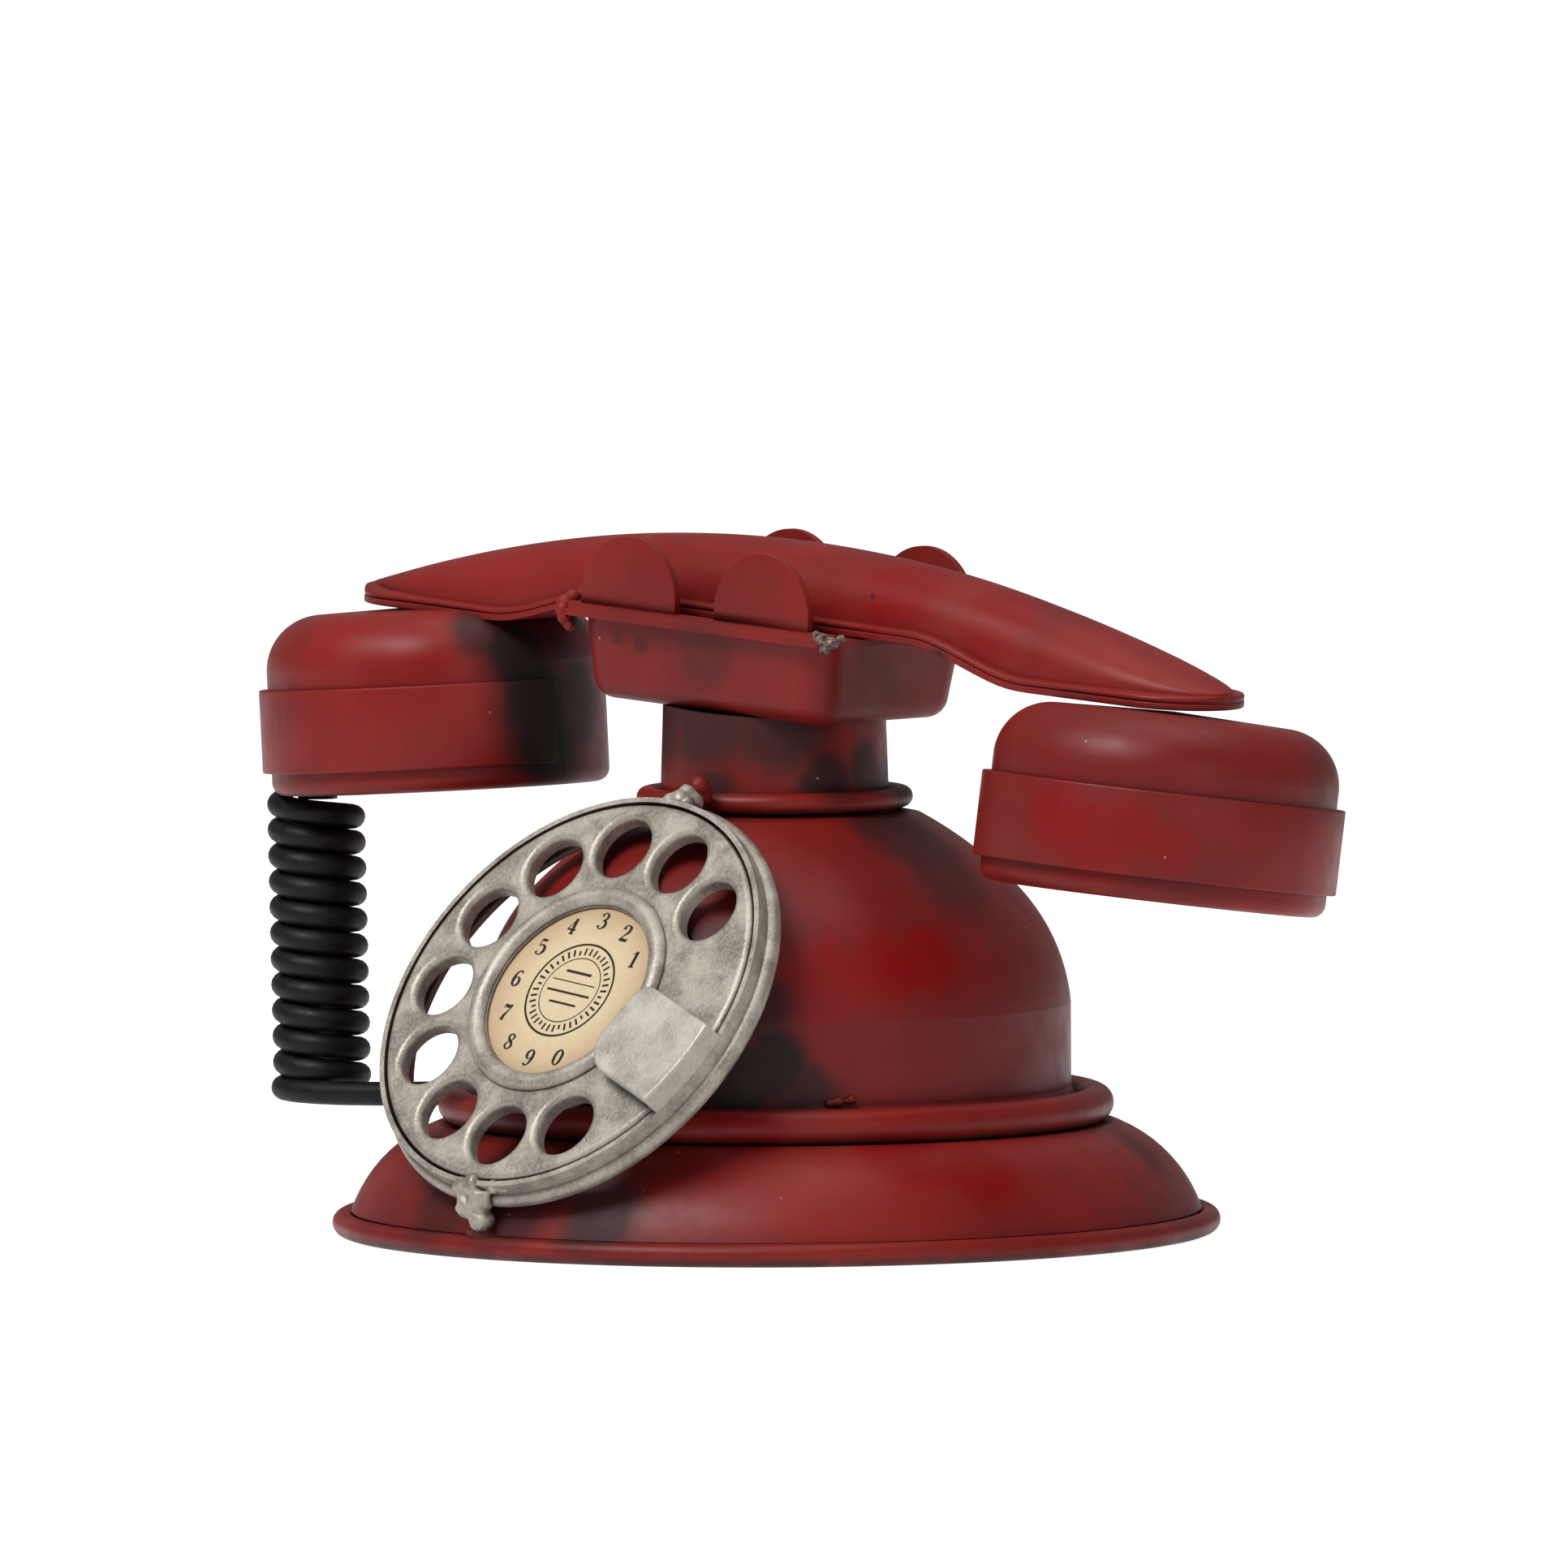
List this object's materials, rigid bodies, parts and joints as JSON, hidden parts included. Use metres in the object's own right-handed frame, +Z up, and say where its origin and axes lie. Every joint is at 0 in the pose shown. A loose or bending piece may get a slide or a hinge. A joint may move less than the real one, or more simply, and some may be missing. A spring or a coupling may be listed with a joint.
{
  "type": "rotary telephone",
  "caption": "Desk telephone with a flared round base, bell housing, tilted rotary dial, cradle on a short neck and a lift-off handset on a coiled cord.",
  "frame": {"origin": "centre of the base's underside, on the surface that the telephone stands on", "axes": "+Z up, the dial faces -Y, the handset lies along X with the end that the cord hangs from at -X"},
  "size_m": [0.241, 0.1604, 0.1256],
  "materials": {
    "red_enamel": "semi-gloss, worn",
    "zinc_plate": "satin",
    "felt": "matt",
    "steel": "satin",
    "brass": "satin",
    "contact_strip": "satin",
    "cast_metal": "dull cast",
    "solder": "dull",
    "card": "matt",
    "fibre": "matt",
    "winding": "varnished",
    "can": "satin",
    "cord_rubber": "satin"
  },
  "bodies": {
    "base": {"base_rim": "red_enamel", "base_skirt": "red_enamel", "base_bead": "red_enamel", "bell_housing": "red_enamel", "collar_bead": "red_enamel", "neck_tube": "red_enamel", "cradle_tray": "red_enamel", "cradle_rails": "red_enamel", "ears_front": "red_enamel", "ears_back": "red_enamel", "base_plate": "zinc_plate", "switch_bracket": "zinc_plate", "dial_case": "zinc_plate", "dial_back_plate": "zinc_plate", "gong_posts": "zinc_plate", "ringer_yoke": "zinc_plate", "base_pad": "felt", "base_screws": "steel", "plunger_spring": "steel", "return_spring": "steel", "gong_screws": "steel", "terminal_screws": "steel", "plunger_guide": "brass", "gong_left": "brass", "gong_right": "brass", "hook_switch_leaves": "contact_strip", "pulse_leaves": "contact_strip", "dial_ring": "cast_metal", "finger_stop": "cast_metal", "dial_lugs": "solder", "hook_switch_stack": "fibre", "pulse_block": "fibre", "terminal_block": "fibre", "induction_coil_frame": "fibre", "ringer_coils": "winding", "induction_coil_winding": "winding", "capacitor": "can", "cord_run": "cord_rubber", "cord_gland": "cord_rubber", "line_grommet": "cord_rubber"},
    "dial_rotor": {"finger_wheel": "cast_metal", "card_bezel": "cast_metal", "number_card": "card", "dial_shaft": "steel", "dial_gear": "brass"},
    "governor": {"governor": "brass"},
    "handset": {"handle_plate": "red_enamel", "handle_shell": "red_enamel", "left_cup": "red_enamel", "right_cup": "red_enamel", "left_band": "red_enamel", "right_band": "red_enamel", "left_cap": "red_enamel", "right_cap": "red_enamel", "left_capsule": "can", "right_capsule": "can", "cord_relief": "cord_rubber", "cord_coil": "cord_rubber"},
    "plunger": {"cradle_plunger": "steel"},
    "clapper": {"clapper": "steel"}
  },
  "joints": [
    {"name": "dial_turn", "type": "hinge", "parent": "base", "child": "dial_rotor", "pos_m": [0.0016, -0.0575, 0.0469], "axis": [0, 0.8211, -0.5707], "range_deg": [0, 292], "stiffness_Nm_per_rad": 0.01, "springref_deg": -85.94},
    {"name": "governor_spin", "type": "hinge", "parent": "base", "child": "governor", "pos_m": [0.0016, -0.05128, 0.05585], "axis": [0, 0.8211, -0.5707], "range_deg": [-1256, 0]},
    {"name": "handset_lift", "type": "slide", "parent": "base", "child": "handset", "axis": [0.0663, 0, 0.9978], "range_m": [0, 0.06], "deforming": ["cord_coil"]},
    {"name": "plunger_slide", "type": "slide", "parent": "base", "child": "plunger", "axis": [0.0663, 0, 0.9978], "range_m": [0, 0.005], "deforming": ["plunger_spring"]},
    {"name": "clapper_swing", "type": "hinge", "parent": "base", "child": "clapper", "pos_m": [0, -0.004, 0.032], "axis": [0, 0, 1], "range_deg": [-5, 5], "stiffness_Nm_per_rad": 0.002}
  ],
  "couplings": [
    {"joint": "governor_spin", "follows": "dial_turn", "ratio": -4.3},
    {"joint": "plunger_slide", "follows": "handset_lift", "ratio": 0.083333}
  ]
}
